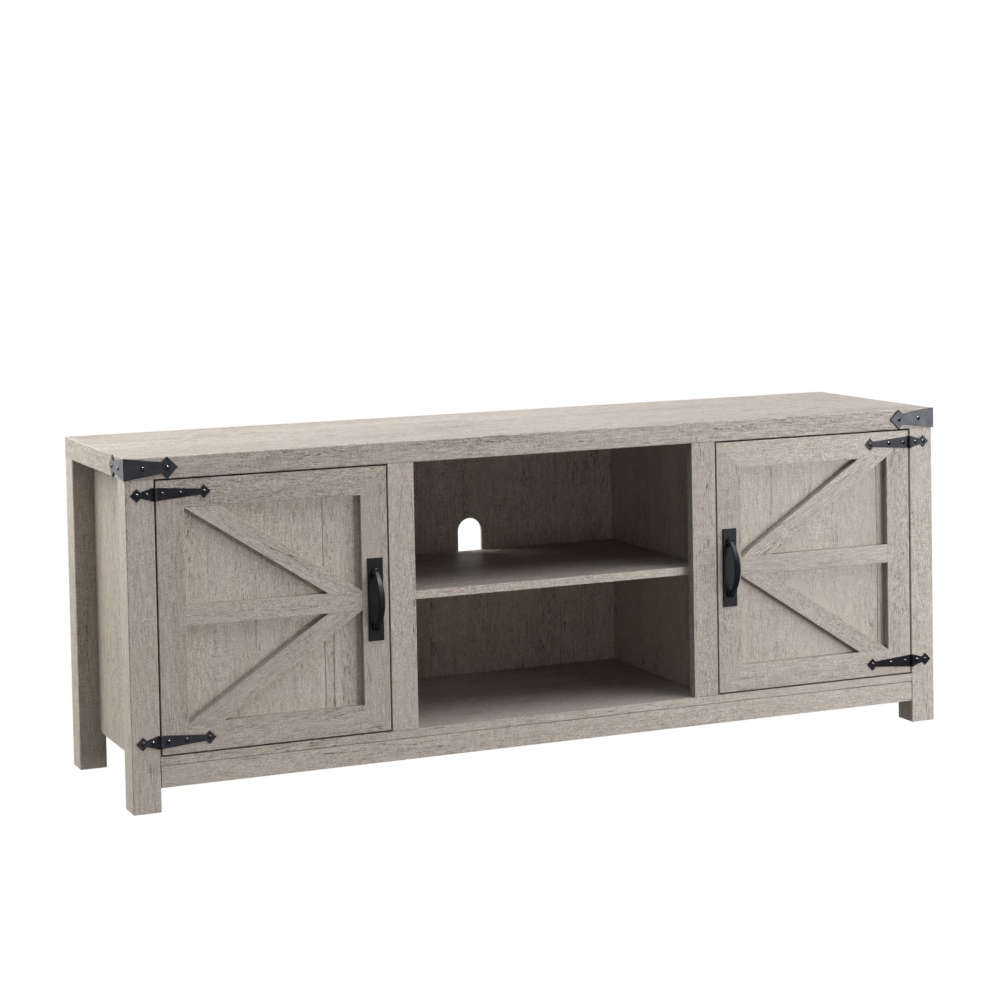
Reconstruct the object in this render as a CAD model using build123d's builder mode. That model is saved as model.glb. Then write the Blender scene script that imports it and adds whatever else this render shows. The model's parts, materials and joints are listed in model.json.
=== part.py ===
from build123d import *
from math import asin, atan2, hypot, sin
import os

# Low television stand on four square legs: a thick top, an open centre bay with one
# shelf, and a cupboard at each end closed by a framed and braced door on strap hinges.
# Millimetres. +Z is up, the doors face -Y, and left means -X, as seen from the front.
# The origin is on the floor, in the middle of the width and of the depth from the grips
# of the handles to the back, so the box of the whole stand is centred on it.

# ---------------------------------------------------------------- carcass sizes
width = 1600.0            # over the legs
depth = 420.0             # over the legs
height = 610.0            # floor to the top surface
top_thick = 38.0
leg_side = 50.0           # legs are square
leg_ease = 1.5            # bevel along the legs and round the rim of the top
foot_bevel = 1.2          # bevel round the bottom of each leg
bottom_underside = 80.0   # floor to the underside of the bottom board
bottom_thick = 15.0
apron_height = 38.0
apron_thick = 15.0
apron_end_gap = 1.0
side_thick = 12.0
side_drop = 12.0          # side panels hang this far below the bottom board's underside
centre_width = 622.0      # between the two dividers
divider_thick = 15.0
post_width = 49.0         # upright facing in front of each divider
post_thick = 19.0
back_thick = 5.0
shelf_thick = 15.0
shelf_rise = 228.5        # bottom board's top face to the shelves' undersides
inner_shelf_setback = 12.0    # shelf behind a door, from the door's back face
inner_shelf_side_gap = 0.5
slot_width = 50.0         # cable slots through the back panels
slot_height = 143.0

# ---------------------------------------------------------------- shelf pins and catches
pin_hole_pitch = 64.0     # spacing of the rows of shelf pin holes
pin_hole_rows = (-1, 0, 1)
pin_hole_column = 120.0   # each column, from the middle of the depth
shelf_pin_radius = 2.5
shelf_pin_clearance = 0.05
shelf_pin_in_wall = 8.0
shelf_pin_out = 9.0
catch_width = 14.0
catch_length = 22.0
catch_height = 42.0
catch_above_shelf = 12.0
catch_air = 0.5           # between the magnets and the strike
catch_corner = 2.0
strike_thick = 1.2
strike_width = 11.0
strike_height = 36.0

# ---------------------------------------------------------------- dowels, cams and back screws
dowel_radius = 3.0
dowel_clearance = 0.05
dowel_in_face = 9.0       # depth in the face of a board
dowel_in_edge = 20.0      # depth in the edge or the end of a board
dowel_column = 60.0       # each dowel of a pair, from the middle of the depth
dowel_level = 130.0       # each dowel of an upright pair, from the middle of the door
apron_dowel_pitch = 500.0
cam_lock_radius = 7.5
cam_lock_depth = 10.0
cam_lock_inset = 24.0     # board's end to the middle of the lock
cam_slot_length = 9.0
cam_slot_width = 1.6
cam_slot_depth = 1.5
cam_bolt_radius = 2.5
cam_clearance = 0.1
cam_column = 90.0         # each cam of a pair, from the middle of the depth
back_screw_head_radius = 4.5
back_screw_head = 1.2
back_screw_pitch = 200.0  # along the bottom board and the centre shelf
seam_screw_pitch = 180.0  # up the seams of the back panels

# ---------------------------------------------------------------- door sizes
door_gap = 3.0            # all round each door
panel_thick = 6.0
strip_thick = 13.0        # stiles, rails and braces applied to the panel
stile_width = 49.0
rail_width = 49.0
middle_rail_width = 35.0
brace_width = 35.0
strip_ease = 0.5          # bevel that shows as a fine line where two strips meet

# ---------------------------------------------------------------- hardware sizes
hinge_height = 22.5       # length of the barrel
knuckles = 5              # odd: the leaf on the leg has the first and the last
hinge_inset = 23.0        # door's top or bottom edge to the middle of the hinge
knuckle_radius = 3.5
hinge_pin_radius = 1.5
hinge_pin_clearance = 0.05
hinge_pin_head_radius = 2.4
hinge_pin_head = 0.8
knuckle_gap = 0.35        # between knuckles, along the pin
leaf_thick = 2.0
leaf_edge_gap = 0.5       # leaf plate to the other leaf's knuckle
leaf_bevel = 0.4
lozenge_half = 11.5       # lozenge at the end of each leaf, centre to corner
door_leaf_reach = 86.5    # pin to the middle of the lozenge
door_leaf_neck = 10.5
frame_leaf_reach = 31.5
frame_leaf_neck = 10.5
door_leaf_screws = (13.0, 45.0, door_leaf_reach)     # distances from the pin
frame_leaf_screws = (14.0, frame_leaf_reach)

screw_radius = 1.5
screw_length = 14.0       # under the head
screw_head_radius = 4.0
screw_head = 2.0
screw_clearance = 0.1

bracket_thick = 3.0
bracket_reach = 74.0      # corner of the top to the middle of the lozenge
bracket_neck = 20.0
bracket_bevel = 0.7
bracket_screws = (31.0, bracket_reach)               # distances from the corner

plate_width = 28.5
plate_height = 147.0
plate_thick = 3.0
plate_bevel = 0.8
pull_spacing = 96.0       # between the two bosses
pull_reach = 34.0         # door's front face to the front of the grip
grip_width = 12.0         # at the middle
grip_end_width = 8.5
grip_thick = 5.0
grip_bevel = 1.6
grip_seat = 4.0           # how deep the grip's ends are let into the bosses
boss_radius = 8.0
boss_height = 5.0
boss_round = 2.5
pull_screw_radius = 2.0
pull_screw_head_radius = 4.0
pull_screw_head = 2.2
pull_screw_bite = 3.5     # thread held inside the boss

# ---------------------------------------------------------------- levels and faces
front = (pull_reach - depth) / 2          # front faces of legs, posts and doors
back = front + depth
middle_y = (front + back) / 2
inside_back = back - back_thick
half_width = width / 2
leg_in = half_width - leg_side
top_under = height - top_thick
bottom_top = bottom_underside + bottom_thick
shelf_under = bottom_top + shelf_rise
divider_in = centre_width / 2
divider_out = divider_in + divider_thick
post_in = divider_out - post_width
post_back = front + post_thick

door_low = bottom_top + door_gap
door_high = top_under - door_gap
door_hinge_edge = leg_in - door_gap       # distances from the middle of the stand
door_pull_edge = divider_out + door_gap
door_middle = (door_low + door_high) / 2
strip_back = front + strip_thick
door_back = strip_back + panel_thick
recess_hinge_edge = door_hinge_edge - stile_width
recess_pull_edge = door_pull_edge + stile_width

hinge_x = (leg_in + door_hinge_edge) / 2  # middle of the gap beside the leg
hinge_y = front - knuckle_radius
hinge_levels = {"upper": door_high - hinge_inset, "lower": door_low + hinge_inset}
handle_x = door_pull_edge + stile_width / 2

seam = divider_in + divider_thick / 2     # the back panels meet behind each divider

sides = {"left": -1, "right": 1}


# ---------------------------------------------------------------- shared operations
def facing(y):
    """Plane at depth y whose normal points out of the front; its x is X and its y is Z."""
    return Plane.XZ.offset(-y)


behind = Plane(origin=(0, back, 0), x_dir=(-1, 0, 0), z_dir=(0, 1, 0))


def save(part, name):
    part.label = name
    export_step(part, f"parts/{name}.step")


def board(x_range, y_range, z_range):
    """Rectangular board between the given limits, added to the part being built."""
    x0, x1 = sorted(x_range)
    y0, y1 = y_range
    z0, z1 = z_range
    with BuildSketch(Plane.XY.offset(z0)) as footprint:
        with Locations(((x0 + x1) / 2, (y0 + y1) / 2)):
            Rectangle(x1 - x0, y1 - y0)
    extrude(footprint.sketch, amount=z1 - z0)


def drill(plane, spots, radius, length):
    """Round holes into the part being built, from the plane along its negative normal."""
    with BuildSketch(plane) as holes:
        with Locations(*spots):
            Circle(radius)
    extrude(holes.sketch, amount=-length, mode=Mode.SUBTRACT)


def round_screw(plane, spots, radius, length, head_radius, head):
    """Dome-headed screws: heads stand on the plane, shanks run along its negative normal."""
    crown = (head_radius**2 + head**2) / (2 * head)    # radius of the dome
    with BuildPart(mode=Mode.PRIVATE) as screw:
        with Locations((0, 0, head - crown)):
            Sphere(crown)
        Cylinder(2 * crown, head, align=(Align.CENTER, Align.CENTER, Align.MIN),
                 mode=Mode.INTERSECT)
        Cylinder(radius, length, align=(Align.CENTER, Align.CENTER, Align.MAX))
    with Locations(*[plane.location * Location((x, y, 0)) for x, y in spots]):
        add(screw.part)


def rod(spots, into, radius, ahead, behind, mode=Mode.ADD):
    """Round rods or holes through points on a joint, ahead along the direction and behind."""
    for spot in spots:
        with BuildSketch(Plane(origin=spot, z_dir=into)) as section:
            Circle(radius)
        if ahead:
            extrude(section.sketch, amount=ahead, mode=mode)
        if behind:
            extrude(section.sketch, amount=-behind, mode=mode)


def leaf_spots(side, direction, reaches, level):
    """Screw places on a hinge leaf that runs from its pin in the given direction."""
    return [(side * (hinge_x + direction * reach), level) for reach in reaches]


def frame_screw_spots(side):
    return [spot for level in hinge_levels.values()
            for spot in leaf_spots(side, 1, frame_leaf_screws, level)]


def door_screw_spots(side, level):
    return leaf_spots(side, -1, door_leaf_screws, level)


# ---------------------------------------------------------------- dowels and cams
# Each joint is given as the points where its fasteners cross it and the direction from the
# board that meets it with an edge or an end into the board that meets it with a face.
UP, DOWN, FORWARD, BACKWARD = (0, 0, 1), (0, 0, -1), (0, -1, 0), (0, 1, 0)


def outward(side):
    return (side, 0, 0)


def pair(offset):
    return (middle_y - offset, middle_y + offset)


def leg_top_joint(side, row_name):
    y = front + leg_side / 2 if row_name == "front" else back - leg_side / 2
    return [(side * (half_width - leg_side / 2), y, top_under)], UP


def side_leg_joint(side, row_name):
    y, into = (front + leg_side, FORWARD) if row_name == "front" else (back - leg_side, BACKWARD)
    x = side * (leg_in + side_thick / 2)
    return [(x, y, door_middle - dowel_level), (x, y, door_middle + dowel_level)], into


def side_top_joint(side, offset):
    x = side * (leg_in + side_thick / 2)
    return [(x, y, top_under) for y in pair(offset)], UP


def board_side_joint(side, offset):
    z = bottom_underside + bottom_thick / 2
    return [(side * leg_in, y, z) for y in pair(offset)], outward(side)


def divider_top_joint(side, offset):
    return [(side * seam, y, top_under) for y in pair(offset)], UP


def divider_bottom_joint(side, offset):
    return [(side * seam, y, bottom_top) for y in pair(offset)], DOWN


def divider_post_joint(side):
    levels = (door_middle - dowel_level, door_middle + dowel_level)
    return [(side * seam, post_back, z) for z in levels], FORWARD


def shelf_divider_joint(side, offset):
    z = shelf_under + shelf_thick / 2
    return [(side * divider_in, y, z) for y in pair(offset)], outward(side)


def apron_board_joint():
    y = front + apron_thick / 2
    steps = (-1, 0, 1)
    return [(step * apron_dowel_pitch, y, bottom_underside) for step in steps], UP


def dowel_holes_in_face(joint):
    spots, into = joint
    rod(spots, into, dowel_radius + dowel_clearance, dowel_in_face, 0, Mode.SUBTRACT)


def dowel_holes_in_edge(joint):
    spots, into = joint
    rod(spots, into, dowel_radius + dowel_clearance, 0, dowel_in_edge, Mode.SUBTRACT)


def cam_bolt_holes_in_face(joint):
    spots, into = joint
    rod(spots, into, cam_bolt_radius + cam_clearance, dowel_in_face, 0, Mode.SUBTRACT)


def lock_spots(joint, toward, board_thick):
    """Middles of the locks' outer ends, on the board face that the locks are let into."""
    spots, into = joint
    return [tuple(Vector(spot) - Vector(into) * cam_lock_inset
                  + Vector(toward) * (board_thick / 2)) for spot in spots]


def cam_holes_in_board(joint, toward, board_thick):
    """Bolt bores from the edge, and a round pocket for each lock in the face toward."""
    spots, into = joint
    rod(spots, into, cam_bolt_radius + cam_clearance, 0, cam_lock_inset, Mode.SUBTRACT)
    rod(lock_spots(joint, toward, board_thick), toward, cam_lock_radius + cam_clearance,
        0, cam_lock_depth, Mode.SUBTRACT)


def cam(joint, toward, board_thick):
    """Locks with a screwdriver slot, and the bolts that they pull on."""
    spots, into = joint
    rod(spots, into, cam_bolt_radius, dowel_in_face, cam_lock_inset - cam_lock_radius)
    for spot in lock_spots(joint, toward, board_thick):
        face = Plane(origin=spot, x_dir=into, z_dir=toward)
        with BuildSketch(face) as lock:
            Circle(cam_lock_radius)
        extrude(lock.sketch, amount=-cam_lock_depth)
        with BuildSketch(face) as slot:
            Rectangle(cam_slot_length, cam_slot_width)
        extrude(slot.sketch, amount=-cam_slot_depth, mode=Mode.SUBTRACT)


def dowel_joints():
    joints = [apron_board_joint()]
    for side in sides.values():
        for row_name in ("front", "rear"):
            joints += [leg_top_joint(side, row_name), side_leg_joint(side, row_name)]
        joints += [board_side_joint(side, dowel_column), divider_top_joint(side, dowel_column),
                   divider_bottom_joint(side, dowel_column), divider_post_joint(side),
                   shelf_divider_joint(side, dowel_column)]
    return joints


def cam_joints():
    """Each joint held by cams, with the face that the locks are in and the board's thickness."""
    joints = []
    for side in sides.values():
        joints += [(board_side_joint(side, cam_column), DOWN, bottom_thick),
                   (side_top_joint(side, cam_column), outward(-side), side_thick),
                   (divider_top_joint(side, cam_column), outward(side), divider_thick),
                   (divider_bottom_joint(side, cam_column), outward(side), divider_thick),
                   (shelf_divider_joint(side, cam_column), DOWN, shelf_thick)]
    return joints


def make_cabinet_dowels():
    with BuildPart() as cabinet_dowels:
        for spots, into in dowel_joints():
            rod(spots, into, dowel_radius, dowel_in_face, dowel_in_edge)
    save(cabinet_dowels.part, "cabinet_dowels")


def make_cam_fasteners():
    with BuildPart() as cam_fasteners:
        for joint, toward, board_thick in cam_joints():
            cam(joint, toward, board_thick)
    save(cam_fasteners.part, "cam_fasteners")


def back_screw_spots():
    """(x, z) of the screws along the bottom board, in the shelf's edge and up the seams."""
    board_level = bottom_underside + bottom_thick / 2
    shelf_level = shelf_under + shelf_thick / 2
    seam_levels = [door_middle + step * seam_screw_pitch for step in (-1, 0, 1)]
    spots = [(step * back_screw_pitch, board_level) for step in (-3, -2, -1, 0, 1, 2, 3)]
    spots += [(step * back_screw_pitch, shelf_level) for step in (-1, 1)]
    spots += [(side * seam, level) for side in sides.values() for level in seam_levels]
    return spots


def drill_from_back(spots):
    """Screw holes from the back; on this plane x runs from right to left."""
    drill(behind, [(-x, z) for x, z in spots], screw_radius + screw_clearance, screw_length)


def make_back_screws():
    with BuildPart() as back_screws:
        round_screw(behind, [(-x, z) for x, z in back_screw_spots()], screw_radius,
                    screw_length, back_screw_head_radius, back_screw_head)
    save(back_screws.part, "back_screws")


# ---------------------------------------------------------------- carcass
def bracket_front_spots(side):
    return [(side * (half_width - reach), height - top_thick / 2) for reach in bracket_screws]


def bracket_side_spots():
    return [(front + reach, height - top_thick / 2) for reach in bracket_screws]


def side_plane(side, x):
    """Plane at x whose normal points away from the middle; its x runs back or forward."""
    return Plane(origin=(side * x, 0, 0), x_dir=(0, 1, 0), z_dir=(side, 0, 0))


def side_plane_spots(side, spots):
    """(y, z) places as that plane's own coordinates, whose vertical turns with the side."""
    return [(y, side * z) for y, z in spots]


def make_top_panel():
    with BuildPart() as top_panel:
        board((-half_width, half_width), (front, back), (top_under, height))
        chamfer(top_panel.faces().sort_by(Axis.Z)[-1].edges(), leg_ease)
        for side in sides.values():
            drill(facing(front), bracket_front_spots(side),
                  screw_radius + screw_clearance, screw_length)
            drill(side_plane(side, half_width), side_plane_spots(side, bracket_side_spots()),
                  screw_radius + screw_clearance, screw_length)
            for row_name in ("front", "rear"):
                dowel_holes_in_face(leg_top_joint(side, row_name))
            dowel_holes_in_face(divider_top_joint(side, dowel_column))
            cam_bolt_holes_in_face(divider_top_joint(side, cam_column))
            cam_bolt_holes_in_face(side_top_joint(side, cam_column))
    save(top_panel.part, "top_panel")


def make_leg(side, side_name, row_name):
    y0 = front if row_name == "front" else back - leg_side
    with BuildPart() as leg:
        board((side * leg_in, side * half_width), (y0, y0 + leg_side), (0, top_under))
        chamfer(leg.edges().filter_by(Axis.Z), leg_ease)
        chamfer(leg.faces().sort_by(Axis.Z)[0].edges(), foot_bevel)
        if row_name == "front":
            drill(facing(front), frame_screw_spots(side),
                  screw_radius + screw_clearance, screw_length)
        dowel_holes_in_edge(leg_top_joint(side, row_name))
        dowel_holes_in_face(side_leg_joint(side, row_name))
    save(leg.part, f"leg_{row_name}_{side_name}")


def pin_spots():
    """Shelf pin holes as (y, z), in rows above and below the shelf's resting place."""
    shelf_row = shelf_under - shelf_pin_radius
    return [(middle_y + column, shelf_row + row * pin_hole_pitch)
            for column in (-pin_hole_column, pin_hole_column)
            for row in pin_hole_rows]


def make_side_panel(side, side_name):
    with BuildPart() as side_panel:
        board((side * leg_in, side * (leg_in + side_thick)),
              (front + leg_side, back - leg_side),
              (bottom_underside - side_drop, top_under))
        drill(side_plane(-side, -leg_in), side_plane_spots(-side, pin_spots()),
              shelf_pin_radius + shelf_pin_clearance, shelf_pin_in_wall)
        for row_name in ("front", "rear"):
            dowel_holes_in_edge(side_leg_joint(side, row_name))
        dowel_holes_in_face(board_side_joint(side, dowel_column))
        cam_bolt_holes_in_face(board_side_joint(side, cam_column))
        cam_holes_in_board(side_top_joint(side, cam_column), outward(-side), side_thick)
    save(side_panel.part, f"side_panel_{side_name}")


def make_bottom_board():
    with BuildPart() as bottom_board:
        board((-leg_in, leg_in), (front, inside_back), (bottom_underside, bottom_top))
        chamfer(bottom_board.edges().filter_by(Axis.X).group_by(Axis.Y)[0], strip_ease)
        dowel_holes_in_face(apron_board_joint())
        for side in sides.values():
            dowel_holes_in_edge(board_side_joint(side, dowel_column))
            dowel_holes_in_face(divider_bottom_joint(side, dowel_column))
            cam_bolt_holes_in_face(divider_bottom_joint(side, cam_column))
            cam_holes_in_board(board_side_joint(side, cam_column), DOWN, bottom_thick)
        drill_from_back(back_screw_spots())
    save(bottom_board.part, "bottom_board")


def make_front_apron():
    apron_half = leg_in - apron_end_gap
    with BuildPart() as front_apron:
        board((-apron_half, apron_half), (front, front + apron_thick),
              (bottom_underside - apron_height, bottom_underside))
        chamfer(front_apron.edges().filter_by(Axis.X).group_by(Axis.Y)[0], strip_ease)
        dowel_holes_in_edge(apron_board_joint())
    save(front_apron.part, "front_apron")


def make_divider(side, side_name):
    with BuildPart() as divider:
        board((side * divider_in, side * divider_out), (post_back, inside_back),
              (bottom_top, top_under))
        drill(side_plane(side, divider_out), side_plane_spots(side, pin_spots()),
              shelf_pin_radius + shelf_pin_clearance, shelf_pin_in_wall)
        for joint in (divider_top_joint, divider_bottom_joint):
            dowel_holes_in_edge(joint(side, dowel_column))
            cam_holes_in_board(joint(side, cam_column), outward(side), divider_thick)
        dowel_holes_in_edge(divider_post_joint(side))
        dowel_holes_in_face(shelf_divider_joint(side, dowel_column))
        cam_bolt_holes_in_face(shelf_divider_joint(side, cam_column))
        drill_from_back(back_screw_spots())
    save(divider.part, f"divider_{side_name}")


def make_divider_post(side, side_name):
    with BuildPart() as divider_post:
        board((side * post_in, side * divider_out), (front, post_back), (bottom_top, top_under))
        chamfer(divider_post.edges().filter_by(Axis.Z).group_by(Axis.Y)[0], strip_ease)
        dowel_holes_in_face(divider_post_joint(side))
    save(divider_post.part, f"divider_post_{side_name}")


def make_centre_shelf():
    with BuildPart() as centre_shelf:
        board((-divider_in, divider_in), (post_back, inside_back),
              (shelf_under, shelf_under + shelf_thick))
        chamfer(centre_shelf.edges().filter_by(Axis.X).group_by(Axis.Y)[0], strip_ease)
        for side in sides.values():
            dowel_holes_in_edge(shelf_divider_joint(side, dowel_column))
            cam_holes_in_board(shelf_divider_joint(side, cam_column), DOWN, shelf_thick)
        drill_from_back(back_screw_spots())
    save(centre_shelf.part, "centre_shelf")


def make_inner_shelf(side, side_name):
    with BuildPart() as inner_shelf:
        board((side * (divider_out + inner_shelf_side_gap), side * (leg_in - inner_shelf_side_gap)),
              (door_back + inner_shelf_setback, inside_back),
              (shelf_under, shelf_under + shelf_thick))
        chamfer(inner_shelf.edges().filter_by(Axis.X).group_by(Axis.Y)[0], strip_ease)
    save(inner_shelf.part, f"inner_shelf_{side_name}")


def make_back_panel(x0, x1, name):
    """Thin panel let in between the rear legs, with a cable slot behind the shelf."""
    slot_level = shelf_under + shelf_thick / 2
    with BuildPart() as back_panel:
        board((x0, x1), (inside_back, back), (bottom_underside, top_under))
        with BuildSketch(facing(back)):
            with Locations(((x0 + x1) / 2, slot_level)):
                SlotOverall(slot_height, slot_width, rotation=90)
        extrude(amount=back_thick, mode=Mode.SUBTRACT)
        drill_from_back(back_screw_spots())
    save(back_panel.part, name)


def make_shelf_pins():
    """Four steel pins under each inner shelf, half in the wall and half in the cupboard."""
    with BuildPart() as shelf_pins:
        for side in sides.values():
            for wall, outward in ((leg_in, -side), (divider_out, side)):
                plane = side_plane(outward, wall * side * outward)
                resting = [spot for spot in pin_spots()
                           if spot[1] == shelf_under - shelf_pin_radius]
                with BuildSketch(plane.offset(-shelf_pin_in_wall)):
                    with Locations(*side_plane_spots(outward, resting)):
                        Circle(shelf_pin_radius)
                extrude(amount=shelf_pin_in_wall + shelf_pin_out)
    save(shelf_pins.part, "shelf_pins")


def catch_level():
    return shelf_under + shelf_thick + catch_above_shelf + catch_height / 2


def make_magnetic_catches():
    """One block on the outer face of each divider, with two pole ribs towards the door."""
    face = door_back + strike_thick + catch_air
    rib = catch_width / 5
    with BuildPart() as magnetic_catches:
        for side in sides.values():
            centre_x = side * (divider_out + catch_width / 2)
            with BuildSketch(facing(face + rib)):
                with Locations((centre_x, catch_level())):
                    RectangleRounded(catch_width, catch_height, catch_corner)
            extrude(amount=-(catch_length - rib))
            with BuildSketch(facing(face + rib)):
                with Locations((centre_x - rib, catch_level()), (centre_x + rib, catch_level())):
                    Rectangle(rib, strike_height)
            extrude(amount=rib)
    save(magnetic_catches.part, "magnetic_catches")


# ---------------------------------------------------------------- corner brackets
def bracket_arm(plane, toward, up):
    """One tapered arm with a lozenge end, sketched on a plane through the outer corner.

    toward is the sign in which the arm runs along the plane's x, and up the sign of Z
    along its y.
    """
    half = top_thick / 2
    level = up * (height - half)
    neck_at = bracket_reach - half + bracket_neck / 2    # where the arm meets the lozenge
    with BuildSketch(plane) as outline:
        with Locations((0, level)):
            Polygon((toward * -bracket_thick, -half), (toward * -bracket_thick, half), (0, half),
                    (toward * neck_at, bracket_neck / 2), (toward * neck_at, -bracket_neck / 2),
                    (0, -half), align=None)
            Polygon((toward * (bracket_reach - half), 0), (toward * bracket_reach, half),
                    (toward * (bracket_reach + half), 0), (toward * bracket_reach, -half),
                    align=None)
    extrude(outline.sketch, amount=bracket_thick)


def make_corner_bracket(side, side_name):
    front_face = Plane(origin=(side * half_width, front, 0), x_dir=(1, 0, 0), z_dir=(0, -1, 0))
    side_face = Plane(origin=(side * half_width, front, 0), x_dir=(0, 1, 0), z_dir=(side, 0, 0))
    with BuildPart() as corner_bracket:
        bracket_arm(front_face, -side, 1)
        bracket_arm(side_face, 1, side)
        front_outside = corner_bracket.faces().sort_by(Axis.Y)[0]
        side_outside = corner_bracket.faces().sort_by(Axis.X)[0 if side < 0 else -1]
        chamfer(front_outside.edges() + side_outside.edges(), bracket_bevel)
        drill(facing(front - bracket_thick), bracket_front_spots(side),
              screw_radius + screw_clearance, bracket_thick)
        drill(side_plane(side, half_width + bracket_thick),
              side_plane_spots(side, bracket_side_spots()),
              screw_radius + screw_clearance, bracket_thick)
    save(corner_bracket.part, f"corner_bracket_{side_name}")


def make_frame_screws():
    """Screws that hold the brackets to the top and the fixed hinge leaves to the legs."""
    with BuildPart() as frame_screws:
        for side in sides.values():
            round_screw(facing(front - bracket_thick), bracket_front_spots(side),
                        screw_radius, screw_length, screw_head_radius, screw_head)
            round_screw(side_plane(side, half_width + bracket_thick),
                        side_plane_spots(side, bracket_side_spots()),
                        screw_radius, screw_length, screw_head_radius, screw_head)
            round_screw(facing(front - leaf_thick), frame_screw_spots(side),
                        screw_radius, screw_length, screw_head_radius, screw_head)
    save(frame_screws.part, "frame_screws")


# ---------------------------------------------------------------- strap hinges
def leaf_plate(side, direction, level, reach, neck):
    """Flat leaf: a taper from the barrel to a neck, then a lozenge."""
    start = side * (hinge_x + direction * (knuckle_radius + leaf_edge_gap))
    neck_x = side * (hinge_x + direction * (reach - lozenge_half + neck / 2))
    centre = side * (hinge_x + direction * reach)
    with BuildSketch(facing(front)) as outline:
        Polygon((start, level - hinge_height / 2), (start, level + hinge_height / 2),
                (neck_x, level + neck / 2), (neck_x, level - neck / 2), align=None)
        with Locations((centre, level)):
            Rectangle(lozenge_half * 2**0.5, lozenge_half * 2**0.5, rotation=45)
    extrude(outline.sketch, amount=leaf_thick)


def leaf_knuckle(side, direction, z0, z1):
    """Rolled knuckle with the tongue that joins it to the leaf, tangent to the door face."""
    tongue = knuckle_radius + leaf_edge_gap + leaf_thick
    with BuildSketch(Plane.XY.offset(z0)) as section:
        with Locations((side * hinge_x, hinge_y)):
            Circle(knuckle_radius)
        with Locations((side * (hinge_x + direction * tongue / 2), front - leaf_thick / 2)):
            Rectangle(tongue, leaf_thick)
        with Locations((side * hinge_x, hinge_y)):
            Circle(hinge_pin_radius + hinge_pin_clearance, mode=Mode.SUBTRACT)
    extrude(section.sketch, amount=z1 - z0)


def make_hinge_leaf(side, direction, level, name):
    """direction 1 is the leaf on the leg, and -1 the leaf on the door."""
    bottom = level - hinge_height / 2
    knuckle = (hinge_height - (knuckles - 1) * knuckle_gap) / knuckles
    on_leg = direction == 1
    reach = frame_leaf_reach if on_leg else door_leaf_reach
    neck = frame_leaf_neck if on_leg else door_leaf_neck
    screws = frame_leaf_screws if on_leg else door_leaf_screws
    with BuildPart() as leaf:
        leaf_plate(side, direction, level, reach, neck)
        chamfer(leaf.faces().sort_by(Axis.Y)[0].edges(), leaf_bevel)
        for index in range(0 if on_leg else 1, knuckles, 2):
            z0 = bottom + index * (knuckle + knuckle_gap)
            leaf_knuckle(side, direction, z0, z0 + knuckle)
        drill(facing(front - leaf_thick), leaf_spots(side, direction, screws, level),
              screw_radius + screw_clearance, leaf_thick)
    save(leaf.part, name)


def make_hinge_pins():
    """Riveted pins, fast in the leaves on the legs; the door leaves turn on them."""
    with BuildPart() as hinge_pins:
        for side in sides.values():
            for level in hinge_levels.values():
                low = level - hinge_height / 2
                with BuildSketch(Plane.XY.offset(low)):
                    with Locations((side * hinge_x, hinge_y)):
                        Circle(hinge_pin_radius)
                extrude(amount=hinge_height)
                for z, lift in ((low, -1), (low + hinge_height, 1)):
                    with BuildSketch(Plane(origin=(side * hinge_x, hinge_y, z),
                                           z_dir=(0, 0, lift))):
                        Circle(hinge_pin_head_radius)
                    extrude(amount=hinge_pin_head, taper=30)
    save(hinge_pins.part, "hinge_pins")


# ---------------------------------------------------------------- doors
def strip(corners):
    """Flat strip on the door's panel, given by its corners as distance from the middle and
    height, each handed over with its side."""
    with BuildSketch(facing(strip_back)) as outline:
        Polygon(*corners, align=None)
    extrude(outline.sketch, amount=strip_thick)


def ease_front(part, count=2):
    """Bevels the long edges of a strip's front face; mitres and cut ends stay sharp."""
    chamfer(part.faces().sort_by(Axis.Y)[0].edges().sort_by(SortBy.LENGTH)[-count:], strip_ease)


def make_door_panel(side, side_name):
    with BuildPart() as door_panel:
        board((side * door_pull_edge, side * door_hinge_edge), (strip_back, door_back),
              (door_low, door_high))
        for level in hinge_levels.values():
            drill(facing(front), door_screw_spots(side, level),
                  screw_radius + screw_clearance, screw_length - leaf_thick)
        drill(facing(strip_back), handle_spots(side),
              pull_screw_radius + screw_clearance, panel_thick)
    save(door_panel.part, f"{side_name}_door_panel")


def make_stiles(side, side_name):
    """Uprights of the door's frame, mitred at both ends."""
    inner_low, inner_high = door_low + rail_width, door_high - rail_width
    with BuildPart() as hinge_stile:
        strip([(side * door_hinge_edge, door_low), (side * door_hinge_edge, door_high),
               (side * recess_hinge_edge, inner_high), (side * recess_hinge_edge, inner_low)])
        ease_front(hinge_stile)
        for level in hinge_levels.values():
            drill(facing(front), door_screw_spots(side, level)[:1],
                  screw_radius + screw_clearance, strip_thick)
    save(hinge_stile.part, f"{side_name}_door_hinge_stile")
    with BuildPart() as pull_stile:
        strip([(side * door_pull_edge, door_low), (side * door_pull_edge, door_high),
               (side * recess_pull_edge, inner_high), (side * recess_pull_edge, inner_low)])
        ease_front(pull_stile)
        drill(facing(front), handle_spots(side),
              pull_screw_radius + screw_clearance, strip_thick)
    save(pull_stile.part, f"{side_name}_door_pull_stile")


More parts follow.
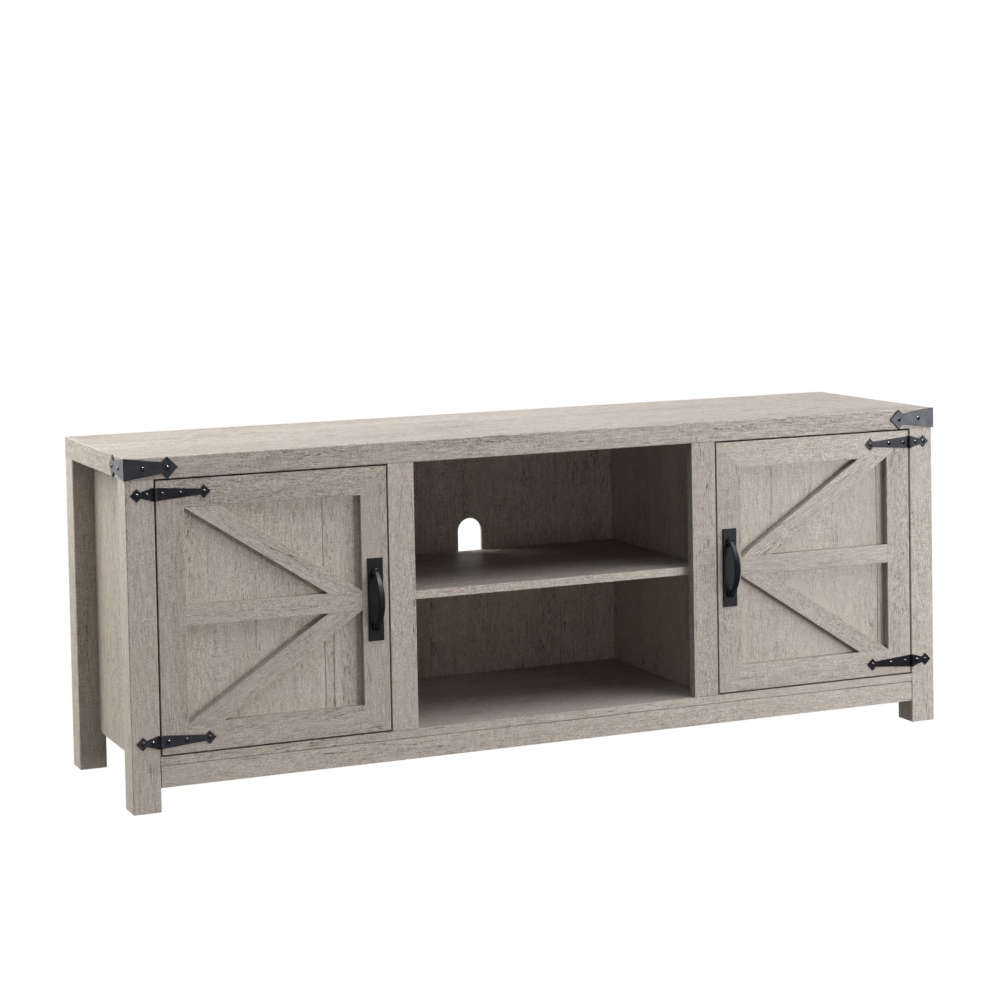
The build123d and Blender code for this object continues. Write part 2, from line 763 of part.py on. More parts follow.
def make_rails(side, side_name):
    """Top and bottom rails, mitred like the stiles, and the square-ended middle rail."""
    for row_name, hinge_name, outer, up in (("top", "upper", door_high, 1),
                                            ("bottom", "lower", door_low, -1)):
        inner = outer - up * rail_width
        with BuildPart() as rail:
            strip([(side * door_pull_edge, outer), (side * door_hinge_edge, outer),
                   (side * recess_hinge_edge, inner), (side * recess_pull_edge, inner)])
            ease_front(rail)
            drill(facing(front), door_screw_spots(side, hinge_levels[hinge_name])[1:],
                  screw_radius + screw_clearance, strip_thick)
        save(rail.part, f"{side_name}_door_{row_name}_rail")
    low, high = door_middle - middle_rail_width / 2, door_middle + middle_rail_width / 2
    with BuildPart() as middle_rail:
        strip([(side * recess_pull_edge, low), (side * recess_pull_edge, high),
               (side * recess_hinge_edge, high), (side * recess_hinge_edge, low)])
        ease_front(middle_rail)
    save(middle_rail.part, f"{side_name}_door_middle_rail")


def make_brace(side, side_name, row_name):
    """Diagonal strip from the corner at the hinge side to the middle rail at the handle."""
    up = 1 if row_name == "upper" else -1
    run = recess_hinge_edge - recess_pull_edge
    rise = (door_high - door_low) / 2 - rail_width - middle_rail_width / 2
    slope = atan2(rise, run) + asin(brace_width / hypot(rise, run))
    cut = brace_width / sin(slope)        # length of the level cut at each end
    inner = door_middle + up * middle_rail_width / 2
    outer = inner + up * rise
    with BuildPart() as brace:
        strip([(side * recess_hinge_edge, outer), (side * (recess_hinge_edge - cut), outer),
               (side * recess_pull_edge, inner), (side * (recess_pull_edge + cut), inner)])
        ease_front(brace)
    save(brace.part, f"{side_name}_door_{row_name}_brace")


def make_catch_strike(side, side_name):
    with BuildPart() as catch_strike:
        with BuildSketch(facing(door_back)):
            with Locations((side * (door_pull_edge + strike_width / 2), catch_level())):
                RectangleRounded(strike_width, strike_height, catch_corner)
        extrude(amount=-strike_thick)
    save(catch_strike.part, f"{side_name}_catch_strike")


# ---------------------------------------------------------------- handles
def handle_spots(side):
    return [(side * handle_x, door_middle + step * pull_spacing / 2) for step in (-1, 1)]


def make_handle_plate(side, side_name):
    with BuildPart() as handle_plate:
        with BuildSketch(facing(front)):
            with Locations((side * handle_x, door_middle)):
                Rectangle(plate_width, plate_height)
        extrude(amount=plate_thick)
        chamfer(handle_plate.faces().sort_by(Axis.Y)[0].edges(), plate_bevel)
        drill(facing(front - plate_thick), handle_spots(side),
              pull_screw_radius + screw_clearance, plate_thick)
    save(handle_plate.part, f"{side_name}_handle_plate")


def make_handle_pull(side, side_name):
    """Bowed grip, widest at its middle, let into two round bosses."""
    seat = front - plate_thick
    boss_face = seat - boss_height
    x = side * handle_x
    half_span = pull_spacing / 2
    sagitta = boss_face - (front - pull_reach + grip_thick / 2)
    bow_radius = (half_span**2 + sagitta**2) / (2 * sagitta)    # of the grip's centre line
    bow_y = boss_face - sagitta + bow_radius
    end_low, end_high = door_middle - half_span - grip_thick, door_middle + half_span + grip_thick
    with BuildPart() as handle_pull:
        with BuildSketch(facing(seat)):
            with Locations(*handle_spots(side)):
                Circle(boss_radius)
        extrude(amount=boss_height)
        rims = handle_pull.edges().filter_by(GeomType.CIRCLE)
        fillet(rims.filter_by(lambda edge: abs(edge.center().Y - boss_face) < 0.1), boss_round)
        with BuildPart() as grip:
            with BuildSketch(Plane.YZ.offset(x)):
                with Locations((bow_y, door_middle)):
                    Circle(bow_radius + grip_thick / 2)
                    Circle(bow_radius - grip_thick / 2, mode=Mode.SUBTRACT)
                with Locations((boss_face + grip_seat, door_middle)):
                    Rectangle(pull_reach, end_high - end_low, align=(Align.MAX, Align.CENTER),
                              mode=Mode.INTERSECT)
            extrude(amount=grip_width / 2, both=True)
            with BuildSketch(facing(seat)):
                with BuildLine():
                    Line((x - grip_end_width / 2, end_high), (x + grip_end_width / 2, end_high))
                    ThreePointArc((x + grip_end_width / 2, end_high),
                                  (x + grip_width / 2, door_middle),
                                  (x + grip_end_width / 2, end_low))
                    Line((x + grip_end_width / 2, end_low), (x - grip_end_width / 2, end_low))
                    ThreePointArc((x - grip_end_width / 2, end_low),
                                  (x - grip_width / 2, door_middle),
                                  (x - grip_end_width / 2, end_high))
                make_face()
            extrude(amount=pull_reach, both=True, mode=Mode.INTERSECT)
            chamfer(grip.edges().filter_by(lambda edge: edge.length > pull_spacing), grip_bevel)
        drill(facing(seat), handle_spots(side), pull_screw_radius + screw_clearance,
              -(pull_screw_bite + screw_clearance))
    save(handle_pull.part, f"{side_name}_handle_pull")


def make_door_screws(side, side_name):
    """Hinge screws from the front, and handle screws from behind into the bosses."""
    length = (door_back - front) + plate_thick + pull_screw_bite
    inside = Plane(origin=(0, door_back, 0), x_dir=(-1, 0, 0), z_dir=(0, 1, 0))
    with BuildPart() as door_screws:
        for level in hinge_levels.values():
            round_screw(facing(front - leaf_thick), door_screw_spots(side, level),
                        screw_radius, screw_length, screw_head_radius, screw_head)
        round_screw(inside, [(-x, z) for x, z in handle_spots(side)], pull_screw_radius, length,
                    pull_screw_head_radius, pull_screw_head)
    save(door_screws.part, f"{side_name}_door_screws")


# ---------------------------------------------------------------- everything
os.makedirs("parts", exist_ok=True)

make_top_panel()
make_bottom_board()
make_front_apron()
make_centre_shelf()
make_back_panel(-leg_in, -seam, "back_panel_left")
make_back_panel(-seam, seam, "back_panel_centre")
make_back_panel(seam, leg_in, "back_panel_right")
make_back_screws()
make_cabinet_dowels()
make_cam_fasteners()
make_shelf_pins()
make_magnetic_catches()
make_frame_screws()
make_hinge_pins()

for side_name, side in sides.items():
    for row_name in ("front", "rear"):
        make_leg(side, side_name, row_name)
    make_side_panel(side, side_name)
    make_divider(side, side_name)
    make_divider_post(side, side_name)
    make_inner_shelf(side, side_name)
    make_corner_bracket(side, side_name)
    for row_name, level in hinge_levels.items():
        make_hinge_leaf(side, 1, level, f"hinge_frame_leaf_{row_name}_{side_name}")
        make_hinge_leaf(side, -1, level, f"hinge_door_leaf_{row_name}_{side_name}")
    make_door_panel(side, side_name)
    make_stiles(side, side_name)
    make_rails(side, side_name)
    for row_name in ("upper", "lower"):
        make_brace(side, side_name, row_name)
    make_catch_strike(side, side_name)
    make_handle_plate(side, side_name)
    make_handle_pull(side, side_name)
    make_door_screws(side, side_name)
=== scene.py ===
import json
import math

import bpy
from mathutils import Matrix, Vector


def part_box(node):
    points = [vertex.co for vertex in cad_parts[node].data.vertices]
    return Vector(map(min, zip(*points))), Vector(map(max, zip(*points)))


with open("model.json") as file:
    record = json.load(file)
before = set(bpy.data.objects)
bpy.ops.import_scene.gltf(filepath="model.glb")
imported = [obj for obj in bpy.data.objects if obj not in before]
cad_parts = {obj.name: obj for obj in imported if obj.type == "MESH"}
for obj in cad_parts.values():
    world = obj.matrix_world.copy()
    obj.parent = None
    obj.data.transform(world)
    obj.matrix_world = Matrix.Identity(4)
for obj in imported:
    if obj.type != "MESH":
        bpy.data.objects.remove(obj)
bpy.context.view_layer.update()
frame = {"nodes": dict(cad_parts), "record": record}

NODES = frame["nodes"]
END_GRAIN_FACING = 0.75     # how squarely a face has to cut across the grain to be an end


# ---------------------------------------------------------------- small node helpers
def srgb(red, green, blue):
    """Linear colour of an sRGB colour given in 0 to 255."""
    def linear(value):
        value /= 255
        return value / 12.92 if value <= 0.04045 else ((value + 0.055) / 1.055) ** 2.4
    return (linear(red), linear(green), linear(blue), 1.0)


class Graph:
    """Short calls that add nodes to one material and wire them up."""

    def __init__(self, name):
        self.material = bpy.data.materials.new(name)
        self.material.use_nodes = True
        self.tree = self.material.node_tree
        self.shader = self.tree.nodes["Principled BSDF"]

    def node(self, kind, **inputs):
        made = self.tree.nodes.new(kind)
        for key, value in inputs.items():
            self.feed(made.inputs[key], value)
        return made

    def feed(self, socket, value):
        if isinstance(value, bpy.types.NodeSocket):
            self.tree.links.new(value, socket)
        else:
            socket.default_value = value

    def math(self, operation, *values):
        made = self.tree.nodes.new("ShaderNodeMath")
        made.operation = operation
        for socket, value in zip(made.inputs, values):
            self.feed(socket, value)
        return made.outputs[0]

    def mix(self, factor, first, second):
        made = self.tree.nodes.new("ShaderNodeMix")
        made.data_type = "RGBA"
        self.feed(made.inputs["Factor"], factor)
        self.feed(made.inputs["A"], first)
        self.feed(made.inputs["B"], second)
        return made.outputs["Result"]

    def ramp(self, value, low, high, start=0.0, end=1.0):
        """Smooth step from start to end as the value goes from low to high."""
        made = self.tree.nodes.new("ShaderNodeMapRange")
        made.interpolation_type = "SMOOTHSTEP"
        for name, number in (("From Min", low), ("From Max", high), ("To Min", start), ("To Max", end)):
            made.inputs[name].default_value = number
        self.feed(made.inputs["Value"], value)
        return made.outputs["Result"]

    def noise(self, vector, scale, detail, roughness, distortion=0.0):
        return self.node("ShaderNodeTexNoise", Vector=vector, Scale=scale, Detail=detail,
                         Roughness=roughness, Distortion=distortion).outputs["Fac"]

    def stretched(self, vector, across, along):
        """The same place in other units: features per metre across the grain and along it."""
        made = self.tree.nodes.new("ShaderNodeVectorMath")
        made.operation = "MULTIPLY"
        self.feed(made.inputs[0], vector)
        made.inputs[1].default_value = (across, across, along)
        return made.outputs[0]

    def figure(self, grain, across, along, detail, roughness, distortion=0.0):
        """Noise drawn out along the grain."""
        return self.noise(self.stretched(grain, across, along), 1.0, detail, roughness, distortion)

    def place(self):
        """The place on the object, in metres."""
        return self.tree.nodes.new("ShaderNodeTexCoord").outputs["Object"]

    def split(self, vector):
        return self.node("ShaderNodeSeparateXYZ", Vector=vector).outputs

    def line(self, distance, outer, inner, strength=1.0):
        """A thin line that is full within inner of its middle and gone beyond outer."""
        return self.ramp(self.math("ABSOLUTE", distance), outer, inner, 0.0, strength)

    def added(self, value, source, weight):
        """The value plus so much of a source that swings about one half."""
        swing = self.math("SUBTRACT", source, 0.5)
        return self.math("ADD", value, self.math("MULTIPLY", swing, weight))

    def relief(self, height, strength, distance):
        bump = self.node("ShaderNodeBump", Strength=strength, Distance=distance, Height=height)
        self.feed(self.shader.inputs["Normal"], bump.outputs[0])

    def coordinates(self, offset, rotation):
        """Object coordinates turned so that Z runs along the grain, and shifted for this board.

        On a face that cuts across the grain, the print runs along the face instead."""
        source = self.tree.nodes.new("ShaderNodeTexCoord")
        turned = []
        for output in ("Object", "Normal"):
            turn = self.tree.nodes.new("ShaderNodeVectorRotate")
            turn.rotation_type = "EULER_XYZ"
            turn.inputs["Rotation"].default_value = rotation
            self.feed(turn.inputs["Vector"], source.outputs[output])
            turned.append(turn.outputs[0])
        place, facing = turned
        x, y, z = self.split(place)
        end_grain = self.node("ShaderNodeCombineXYZ", X=x, Y=z, Z=y)
        squareness = self.math("ABSOLUTE", self.split(facing)[2])
        is_end = self.math("GREATER_THAN", squareness, END_GRAIN_FACING)
        chosen = self.tree.nodes.new("ShaderNodeMix")
        chosen.data_type = "VECTOR"
        self.feed(chosen.inputs["Factor"], is_end)
        vectors = [socket for socket in chosen.inputs if socket.type == "VECTOR" and socket.name in "AB"]
        self.feed(vectors[0], place)
        self.feed(vectors[1], end_grain.outputs[0])
        moved = self.tree.nodes.new("ShaderNodeVectorMath")
        moved.operation = "ADD"
        self.feed(moved.inputs[0], [socket for socket in chosen.outputs if socket.type == "VECTOR"][0])
        moved.inputs[1].default_value = offset
        return moved.outputs[0]


# ---------------------------------------------------------------- rustic grey oak laminate
OAK_PALE = (0.347, 0.297, 0.248, 1.0)
OAK_DEEP = (0.352, 0.294, 0.232, 1.0)
OAK_DARK = (0.075, 0.053, 0.036, 1.0)
OAK_SPECULAR = 0.2
DARKEST = 0.9               # how far the darkest mark goes to OAK_DARK
JOINT_SHADE_HALF_WIDTHS = 0.0014, 0.0007      # outer and inner, in metres
SEAM_HALF_WIDTHS = 0.0016, 0.0007
SEAM_SWAY = 0.006           # how far a seam wanders sideways, in metres
# Noises of the print: features per metre across the grain and along it, detail, roughness, distortion.
FIGURES = {
    "bands": (15, 0.9, 3, 0.55, 0.3),
    "wash": (6, 2.2, 2, 0.5, 0.0),
    "streaks": (95, 5, 3, 0.6, 0.0),
    "fibres": (480, 48, 2, 0.6, 0.0),
    "speckle": (620, 330, 1, 0.5, 0.0),
    "fine_strength": (14, 5, 2, 0.5, 0.0),
    "saw": (30, 430, 2, 0.6, 0.0),
    "saw_strength": (9, 5, 2, 0.5, 0.0),
    "pores": (440, 75, 1, 0.5, 0.0),
    "strokes": (260, 17, 1, 0.5, 0.0),
    "crowd": (34, 5, 2, 0.6, 0.0),
    "crooked": (52, 3.2, 2, 0.5, 0.3),
    "crack_place": (12, 6, 1, 0.5, 0.0),
}


def oak_tone(g, noises):
    """How light the print is: growth bands, streaks, a wash, fibres with speckle, and saw marks."""
    value = 1.0
    for name, weight in (("bands", 0.28), ("streaks", 0.28), ("wash", 0.20)):
        value = g.added(value, noises[name], weight)
    fine = g.added(g.added(0.0, noises["fibres"], 0.92), noises["speckle"], 1.18)
    fine_strength = g.ramp(noises["fine_strength"], 0.38, 0.62, 0.82, 1.18)
    value = g.math("ADD", value, g.math("MULTIPLY", fine, fine_strength))
    return g.added(value, noises["saw"], g.ramp(noises["saw_strength"], 0.50, 0.66, 0.05, 0.75))


def oak_marks(g, grain, noises):
    """How dark the marks of the print are: pores, cracks, knots and strokes."""
    fibres, crowd = noises["fibres"], noises["crowd"]
    # Short dashes, crowded in some bands and few in others.
    pores = g.math("MULTIPLY", g.ramp(noises["pores"], 0.60, 0.67), g.ramp(crowd, 0.50, 0.66, 0.10, 1.0))
    # Thin crooked lines where one noise crosses its middle value.
    cracks = g.line(g.math("SUBTRACT", noises["crooked"], 0.5), 0.012, 0.003)
    cracks = g.math("MULTIPLY", cracks, g.ramp(fibres, 0.40, 0.56, 1.0, 0.40))
    cracks = g.math("MULTIPLY", cracks, g.ramp(noises["crack_place"], 0.56, 0.62))
    # A few soft spots drawn out along the grain.
    cells = g.node("ShaderNodeTexVoronoi", Vector=g.stretched(grain, 9, 3.6), Scale=1.0, Randomness=1.0)
    picked = g.node("ShaderNodeSeparateColor", Color=cells.outputs["Color"]).outputs[0]
    knots = g.math("MULTIPLY", g.ramp(cells.outputs["Distance"], 0.13, 0.02), g.ramp(picked, 0.60, 0.66))
    # Longer brown marks that gather where the pores do.
    strokes = g.math("MULTIPLY", g.ramp(noises["strokes"], 0.63, 0.71),
                     g.ramp(crowd, 0.46, 0.64, 0.15, 1.0))
    dark = g.math("ADD", g.math("MULTIPLY", pores, 0.56), g.math("MULTIPLY", cracks, 0.80))
    dark = g.math("ADD", dark, g.math("MULTIPLY", knots, g.ramp(fibres, 0.35, 0.6, 0.16, 0.46)))
    return g.math("ADD", dark, g.math("MULTIPLY", strokes, 0.38))


def grey_oak(name, offset, rotation, tone, contrast, seams, joint_shades):
    """Weathered oak print.

    tone is how light this board is drawn; on the door panels it is raised as painted light against the
    shade in their recess. contrast is how strong its figure is. Each seam of a panel is its X place and
    its Z range. Each joint shade is a painted shade line where the board above or below meets this one:
    its height and how dark it is."""
    g = Graph(name)
    grain = g.coordinates(offset, rotation)
    noises = {key: g.figure(grain, *numbers) for key, numbers in FIGURES.items()}
    fibres, streaks = noises["fibres"], noises["streaks"]
    value = oak_tone(g, noises)
    dark = g.math("MULTIPLY", oak_marks(g, grain, noises), contrast)

    x, _, z = g.split(g.place())
    # Painted shade lines along the joints with the boards above and below.
    for height, strength in joint_shades:
        line = g.line(g.math("SUBTRACT", z, height), *JOINT_SHADE_HALF_WIDTHS, strength)
        dark = g.math("ADD", dark, g.math("MULTIPLY", line, g.ramp(streaks, 0.36, 0.5, 1.0, 0.6)))
    if seams:
        swayed = g.added(x, noises["crooked"], SEAM_SWAY)
        worn = g.ramp(streaks, 0.32, 0.5, 0.35, 0.62)
        for place, bottom, top in seams:
            inside = g.math("MULTIPLY", g.math("GREATER_THAN", z, bottom), g.math("LESS_THAN", z, top))
            line = g.line(g.math("SUBTRACT", swayed, place), *SEAM_HALF_WIDTHS)
            dark = g.math("ADD", dark, g.math("MULTIPLY", line, g.math("MULTIPLY", inside, worn)))

    value = g.math("ADD", 1.0, g.math("MULTIPLY", g.math("SUBTRACT", value, 1.0), contrast))
    shade = g.tree.nodes.new("ShaderNodeVectorMath")
    shade.operation = "SCALE"
    g.feed(shade.inputs[0], g.mix(g.ramp(value, 0.70, 1.15), OAK_DEEP, OAK_PALE))
    g.feed(shade.inputs["Scale"], g.math("MULTIPLY", value, tone))
    colour = g.mix(g.math("MINIMUM", dark, DARKEST), shade.outputs[0], OAK_DARK)
    g.feed(g.shader.inputs["Base Color"], colour)
    g.feed(g.shader.inputs["Roughness"], g.ramp(fibres, 0.3, 0.7, 0.56, 0.44))
    g.shader.inputs["Specular IOR Level"].default_value = OAK_SPECULAR
    height = g.math("ADD", g.math("MULTIPLY", fibres, 0.7), g.math("MULTIPLY", noises["saw"], 0.2))
    g.relief(g.math("SUBTRACT", height, g.math("MULTIPLY", dark, 0.9)), 0.3, 0.0004)
    return g.material


# ---------------------------------------------------------------- the other materials
RUBBED_OVER = 0.006         # the depth over which the gloss fades, in metres
RUBBED_ROUGHER = 0.34


def black_metal(name, dark, light, roughness, specular, dull_from=None):
    """Black powder coat: cloudy tone, uneven gloss and a faint orange peel.

    Anything further forward than dull_from is rubbed matt by hands."""
    g = Graph(name)
    place = g.place()
    cloud = g.noise(place, 60, 3, 0.5)
    g.feed(g.shader.inputs["Base Color"], g.mix(g.ramp(cloud, 0.3, 0.7), dark, light))
    gloss = g.ramp(cloud, 0.3, 0.7, roughness - 0.04, roughness + 0.06)
    if dull_from is not None:
        rubbed = g.ramp(g.split(place)[1], dull_from, dull_from - RUBBED_OVER, 0.0, RUBBED_ROUGHER)
        gloss = g.math("ADD", gloss, rubbed)
    g.feed(g.shader.inputs["Roughness"], gloss)
    g.shader.inputs["Specular IOR Level"].default_value = specular
    g.relief(g.noise(place, 900, 3, 0.55), 0.2, 0.0002)
    return g.material


def zinc_steel(name):
    g = Graph(name)
    spangle = g.noise(g.place(), 400, 3, 0.5)
    g.feed(g.shader.inputs["Base Color"],
           g.mix(g.ramp(spangle, 0.3, 0.7), srgb(150, 150, 148), srgb(190, 190, 186)))
    g.feed(g.shader.inputs["Roughness"], g.ramp(spangle, 0.3, 0.7, 0.28, 0.42))
    g.shader.inputs["Metallic"].default_value = 1.0
    return g.material


def catch_plastic(name):
    g = Graph(name)
    grain = g.noise(g.place(), 700, 2, 0.5)
    g.feed(g.shader.inputs["Base Color"],
           g.mix(g.ramp(grain, 0.3, 0.7), srgb(62, 50, 42), srgb(74, 61, 52)))
    g.feed(g.shader.inputs["Roughness"], g.ramp(grain, 0.3, 0.7, 0.45, 0.6))
    return g.material


def dowel_wood(name):
    g = Graph(name)
    grain = g.figure(g.place(), 300, 40, 3, 0.6)
    g.feed(g.shader.inputs["Base Color"], g.mix(grain, srgb(196, 164, 120), srgb(222, 194, 152)))
    g.feed(g.shader.inputs["Roughness"], g.ramp(grain, 0.3, 0.7, 0.6, 0.75))
    return g.material


# ---------------------------------------------------------------- who gets which material
UPRIGHT = (0.0, 0.0, 0.0)
ALONG_X = (0.0, math.pi / 2, 0.0)
BRACE_RUN = 0.9             # how much of its box's width a brace's middle line crosses
BOARD_STEP = (1.37, 2.11, 0.83)    # from one board's place in the print to the next, in metres


def brace_turn(node):
    """Rotation that lays the grain along a brace, from the brace's own box."""
    low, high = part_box(node)
    width, rise = high.x - low.x, high.z - low.z
    is_left = low.x + high.x < 0
    falls = is_left == ("upper" in node)
    angle = math.atan2(width * BRACE_RUN, rise)
    return (0.0, angle if falls else -angle, 0.0)


def dress(node, material):
    mesh = NODES[node].data
    mesh.materials.clear()
    mesh.materials.append(material)


slots = {part["node"]: part["material_slot"] for part in frame["record"]["subparts"]}
shared = {
    "zinc_steel": zinc_steel("zinc_steel"),
    "catch_plastic": catch_plastic("catch_plastic"),
    "dowel_wood": dowel_wood("dowel_wood"),
}
HINGE_BLACK = black_metal("matt_black", srgb(24, 22, 27), srgb(31, 29, 35), 0.40, 0.13)
# Copies of the hinge black: the lower left leaves are drawn lighter, as painted light, and the lower
# right ones darker with less gloss, as painted shade.
LIT_AND_SHADED_HINGE_BLACKS = {
    "lower_left": black_metal("matt_black_painted_light", srgb(44, 42, 47), srgb(50, 48, 54), 0.40, 0.13),
    "lower_right": black_metal("matt_black_painted_shade", srgb(18, 17, 20), srgb(24, 23, 26), 0.40, 0.05),
}
PLATE_BLACK = black_metal("plate_black", srgb(24, 22, 22), srgb(31, 29, 30), 0.40, 0.09)
BRACKET_BLACK = black_metal("slate_black", srgb(33, 34, 38), srgb(41, 42, 46), 0.38, 0.25)
GLOSS_BLACK = black_metal("gloss_black", srgb(14, 14, 16), srgb(20, 20, 23), 0.16, 0.5)
RUBBED_BEYOND = 0.006       # in front of the handle plate, just past the bosses, in metres
PULL_BLACK = black_metal("pull_black", srgb(15, 14, 17), srgb(21, 20, 24), 0.14, 0.3,
                         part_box("left_handle_plate")[0].y - RUBBED_BEYOND)


def black_of(node):
    if "bracket" in node:
        return BRACKET_BLACK
    if "plate" in node:
        return PLATE_BLACK
    if "leaf" in node:
        return LIT_AND_SHADED_HINGE_BLACKS.get(node.split("leaf_")[1], HINGE_BLACK)
    return PULL_BLACK if "handle_pull" in node else GLOSS_BLACK


# How much lighter or darker each board is drawn than the rest. The door panels are drawn lighter as
# painted light, lifting them against the shade that falls in their recess.
BOARD_LIGHTNESS = {
    "left_door_panel": 1.15, "left_door_top_rail": 0.90, "left_door_middle_rail": 1.10,
    "left_door_upper_brace": 1.08, "left_door_lower_brace": 1.01, "left_door_bottom_rail": 0.98,
    "left_door_hinge_stile": 0.98, "left_door_pull_stile": 0.99, "right_door_panel": 1.09,
    "right_door_top_rail": 1.12, "right_door_upper_brace": 1.08, "right_door_lower_brace": 0.96,
    "right_door_middle_rail": 0.98, "right_door_pull_stile": 0.94, "divider_post_left": 1.10,
    "divider_left": 1.20, "divider_right": 1.20, "centre_shelf": 1.16, "bottom_board": 1.08,
    "front_apron": 1.10, "back_panel_centre": 1.10, "side_panel_left": 1.05, "side_panel_right": 1.05,
    "leg_front_left": 1.12, "leg_rear_left": 1.12, "leg_front_right": 1.06, "leg_rear_right": 1.06,
}
# Boards whose figure was printed stronger or weaker than the rest.
CONTRASTS = {
    "left_door_top_rail": 1.5, "left_door_upper_brace": 0.9, "right_door_panel": 0.78,
    "right_door_upper_brace": 1.2, "top_panel": 1.3, "front_apron": 0.9, "divider_post_left": 0.85,
    "left_door_bottom_rail": 1.2, "left_door_middle_rail": 0.85, "left_door_lower_brace": 0.9,
}
# Lines printed on the door panels where their boards would meet.
SEAMS = {
    "left_door_panel": ((-0.4455, 0.10, 0.56), (-0.4285, 0.10, 0.305)),
    "right_door_panel": ((0.6825, 0.10, 0.56), (0.6905, 0.10, 0.235)),
}
# Board edges with a painted shade line where the next board meets them, and how dark the shade is.
JOINT_SHADES = {
    "front_apron": (("top", 0.85),),
    "bottom_board": (("bottom", 0.60),),
    "top_panel": (("bottom", 0.50),),
    "divider_post_left": (("top", 0.45), ("bottom", 0.60)),
    "divider_post_right": (("top", 0.45), ("bottom", 0.60)),
    "leg_front_left": (("top", 0.45),),
    "leg_front_right": (("top", 0.45),),
}


def joint_shades_of(node):
    low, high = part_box(node)
    return [((high if end == "top" else low).z, strength) for end, strength in JOINT_SHADES.get(node, ())]


turns = {"oak_top": ALONG_X, "oak_level": ALONG_X, "oak_upright": UPRIGHT}
for index, node in enumerate(sorted(NODES)):
    slot = slots[node]
    if slot in shared:
        dress(node, shared[slot])
    elif slot == "black_metal":
        dress(node, black_of(node))
    else:
        turn = brace_turn(node) if slot == "oak_brace" else turns[slot]
        offset = [index * step for step in BOARD_STEP]
        dress(node, grey_oak("oak_" + node, offset, turn, BOARD_LIGHTNESS.get(node, 1.0), CONTRASTS.get(node, 1.0),
                             SEAMS.get(node, ()), joint_shades_of(node)))


# ---------------------------------------------------------------- stage, light and camera
FLOOR_GLOW = 0.224          # strength as light
WORLD_GLOW = 0.02
FLOOR_WIDTH = 200
PLAIN = (1.0, 1.0, 1.0)
CENTRE = Vector((0.0, 0.0, 0.35))
AREA_DISTANCE = 3.4
SUN_DISTANCE = 6.0
KEY_AIM = 0.4               # how far out the key lights aim, over where they stand


def glow(tree, shader, strength_to_scene):
    """White to the camera; as light it gives only the strength named."""
    seen = tree.nodes.new("ShaderNodeMapRange")
    seen.inputs["To Min"].default_value = strength_to_scene
    seen.inputs["To Max"].default_value = 1.0
    tree.links.new(tree.nodes.new("ShaderNodeLightPath").outputs["Is Camera Ray"], seen.inputs["Value"])
    tree.links.new(seen.outputs["Result"], shader.inputs["Strength"])


bpy.ops.mesh.primitive_plane_add(size=FLOOR_WIDTH, location=(0, 0, 0))
floor = bpy.context.object
floor.name = "floor"
white = bpy.data.materials.new("floor_white")
white.use_nodes = True
white.node_tree.nodes.clear()
emission = white.node_tree.nodes.new("ShaderNodeEmission")
surface = white.node_tree.nodes.new("ShaderNodeOutputMaterial")
white.node_tree.links.new(emission.outputs[0], surface.inputs["Surface"])
glow(white.node_tree, emission, FLOOR_GLOW)
floor.data.materials.append(white)

world = bpy.data.worlds.new("studio")
bpy.context.scene.world = world
world.use_nodes = True
backdrop = world.node_tree.nodes["Background"]
backdrop.inputs["Color"].default_value = (*PLAIN, 1.0)
glow(world.node_tree, backdrop, WORLD_GLOW)

# The key lights leave out the back panels and the dividers, as flags would, and also the pulls and
# the screws, which get their sparkle from two small lamps of their own.
key_lit, pulls, screws = (bpy.data.collections.new(name) for name in ("key_lit", "pulls", "screws"))
for node, part in NODES.items():
    if "handle_pull" in node:
        pulls.objects.link(part)
    elif "screws" in node:
        screws.objects.link(part)
    elif not node.startswith("back_panel") and node not in ("divider_left", "divider_right"):
        key_lit.objects.link(part)


def aimed(light, place, aim, tint):
    placed = bpy.data.objects.new(light.name, light)
    bpy.context.scene.collection.objects.link(placed)
    placed.location = place
    placed.rotation_mode = "QUATERNION"
    placed.rotation_quaternion = (aim - place).to_track_quat("-Z", "Y")
    placed.visible_camera = False
    light.color = tint
    return placed


def softbox(name, place, aim, size, power, tint=PLAIN, receivers=None):
    light = bpy.data.lights.new(name, "AREA")
    light.size = size
    light.energy = power
    placed = aimed(light, Vector(place), Vector(aim), tint)
    if receivers is not None:
        placed.light_linking.receiver_collection = receivers


def toward(azimuth, elevation):
    """Unit vector from the stand to a lamp: azimuth 0 is straight in front, 90 is to the right."""
    turn, rise = math.radians(azimuth), math.radians(elevation)
    return Vector((math.sin(turn) * math.cos(rise), -math.cos(turn) * math.cos(rise), math.sin(rise)))


# Name, place, power and tint.
KEYS = (("key_far", (2.6, -3.9, 0.45), 60, (0.97, 1.0, 1.04)),
        ("key_front", (2.0, -3.9, 0.45), 22, PLAIN),
        ("key_side", (2.8, -2.6, 0.55), 28, (0.95, 1.0, 1.07)),
        ("key_end", (2.6, -1.5, 0.5), 23, (0.88, 1.0, 1.14)))
for name, place, power, tint in KEYS:
    softbox(name, place, (place[0] * KEY_AIM, 0.0, 0.3), size=0.6, power=power, tint=tint,
            receivers=key_lit)
for name, receivers, power in (("pull_glint", pulls, 120), ("screw_glint", screws, 320)):
    softbox(name, (0.4, -2.0, 3.1), CENTRE, size=0.4, power=power, receivers=receivers)
softbox("fill_front", (-1.2, -3.2, 0.2), (-0.48, 0.0, 0.3), size=1.2, power=16.5)
softbox("overhead", (-1.2, 0.0, 2.2), (-0.48, 0.0, 0.3), size=1.6, power=11.4, tint=(0.89, 1.0, 1.14))
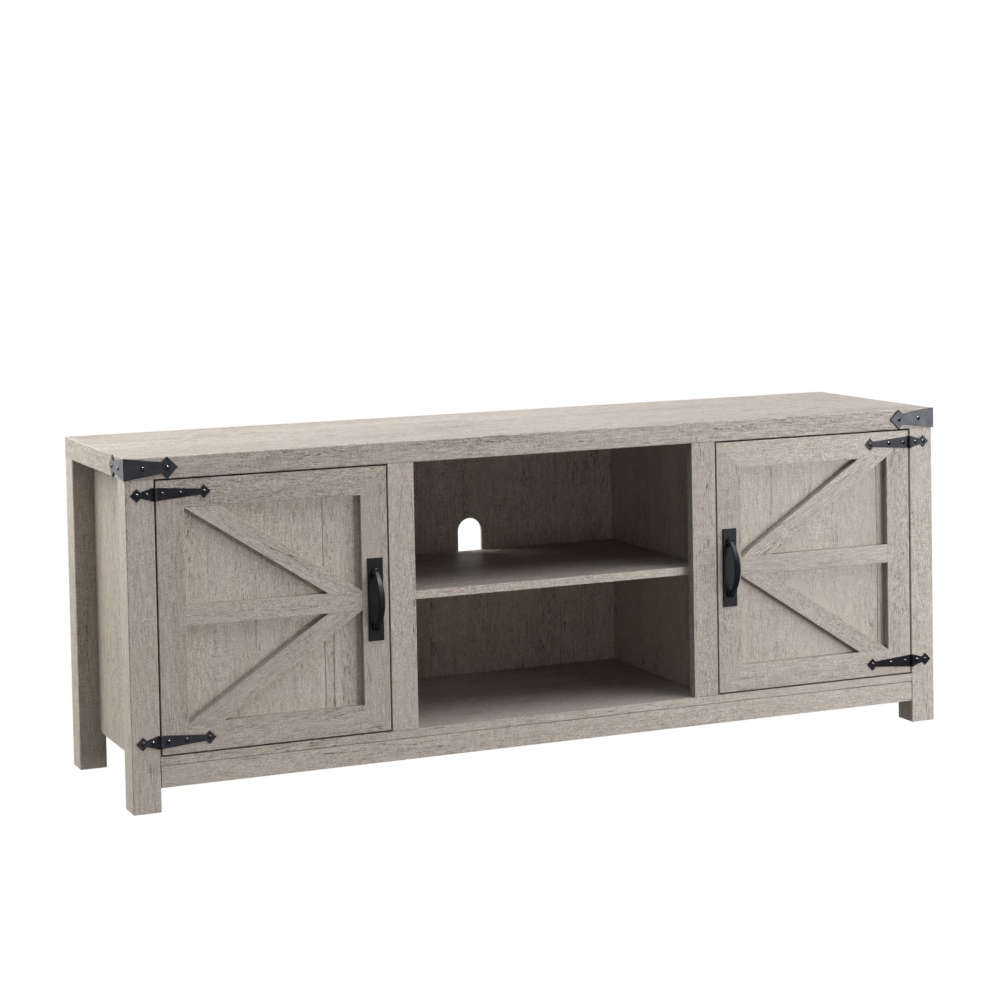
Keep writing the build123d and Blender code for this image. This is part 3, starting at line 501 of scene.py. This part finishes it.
# Name, azimuth, elevation and power.
AREAS = (("left_high", -120, 35, 82), ("left_low", -120, 8, 13),
         ("left_back", -150, 8, 32), ("right_back", 150, 8, 12))
for name, azimuth, elevation, power in AREAS:
    softbox(name, CENTRE + AREA_DISTANCE * toward(azimuth, elevation), CENTRE, size=2.4, power=power)
# Name, azimuth, elevation, power, spread in degrees and tint.
SUNS = (("sky_left", -120, 30, 0.78, 60, PLAIN),
        ("sky_left_low", -120, 5, 0.80, 60, PLAIN),
        ("sky_right_low", 80, 5, 0.93, 60, PLAIN),
        ("sky_right_high", 80, 60, 2.43, 60, (0.96, 1.02, 1.09)),
        ("sky_top", 0, 90, 1.45, 90, (0.91, 1.01, 1.19)))
for name, azimuth, elevation, power, spread, tint in SUNS:
    light = bpy.data.lights.new(name, "SUN")
    light.angle = math.radians(spread)
    light.energy = power
    aimed(light, CENTRE + SUN_DISTANCE * toward(azimuth, elevation), CENTRE, tint)

camera = bpy.data.cameras.new("camera")
viewer = bpy.data.objects.new("camera", camera)
bpy.context.scene.collection.objects.link(viewer)
bpy.context.scene.camera = viewer

YAW, PITCH, ROLL = math.radians(23.24), math.radians(-2.96), math.radians(-1.08)
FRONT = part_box("leg_front_left")[0].y
EYE = Vector((-1.8955, FRONT - 4.1718, 1.0873))
FOCAL_WIDTHS = 2.538        # focal length over the sensor's width
RISE = 0.2                  # how far the frame is shifted down, over its width
forward = Vector((math.sin(YAW) * math.cos(PITCH), math.cos(YAW) * math.cos(PITCH), math.sin(PITCH)))
level_right = Vector((math.cos(YAW), -math.sin(YAW), 0.0))
level_up = level_right.cross(forward)
right = math.cos(ROLL) * level_right + math.sin(ROLL) * level_up
up = -math.sin(ROLL) * level_right + math.cos(ROLL) * level_up
viewer.matrix_world = Matrix.Translation(EYE) @ Matrix((right, up, -forward)).transposed().to_4x4()
camera.sensor_width = 36.0
camera.lens = FOCAL_WIDTHS * camera.sensor_width
camera.shift_y = -RISE
camera.clip_end = 100.0

bpy.context.scene.view_settings.view_transform = "Standard"
